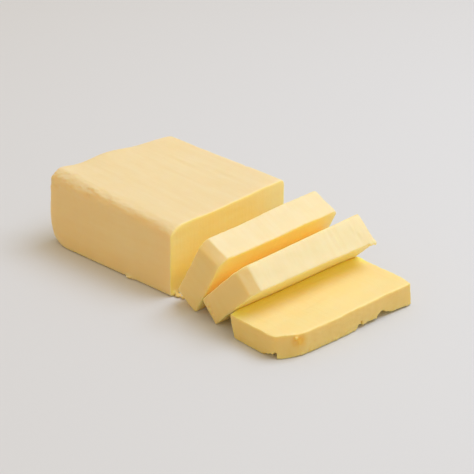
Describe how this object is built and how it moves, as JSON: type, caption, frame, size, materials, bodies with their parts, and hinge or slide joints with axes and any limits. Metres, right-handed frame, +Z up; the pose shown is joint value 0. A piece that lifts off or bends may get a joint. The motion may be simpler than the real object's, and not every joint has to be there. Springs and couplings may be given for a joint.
{
  "type": "block of butter",
  "caption": "Block of cold butter cut part of the way, with its slices fallen forward in a row and leaning on each other.",
  "frame": {"origin": "middle of the underside of the whole, on the surface that it lies on", "axes": "+X along the block from its uncut end to the slice that lies flat, +Y across the block, +Z up"},
  "size_m": [0.156, 0.0822, 0.0362],
  "materials": {
    "butter_outside": "satin, faintly greasy, pale cream yellow",
    "butter_cut": "satin, freshly cut, a little yellower than the outside"
  },
  "bodies": {
    "root": {"butter_block": "butter_outside", "slice_1": "butter_cut", "slice_2": "butter_cut", "slice_3": "butter_cut"}
  },
  "joints": []
}
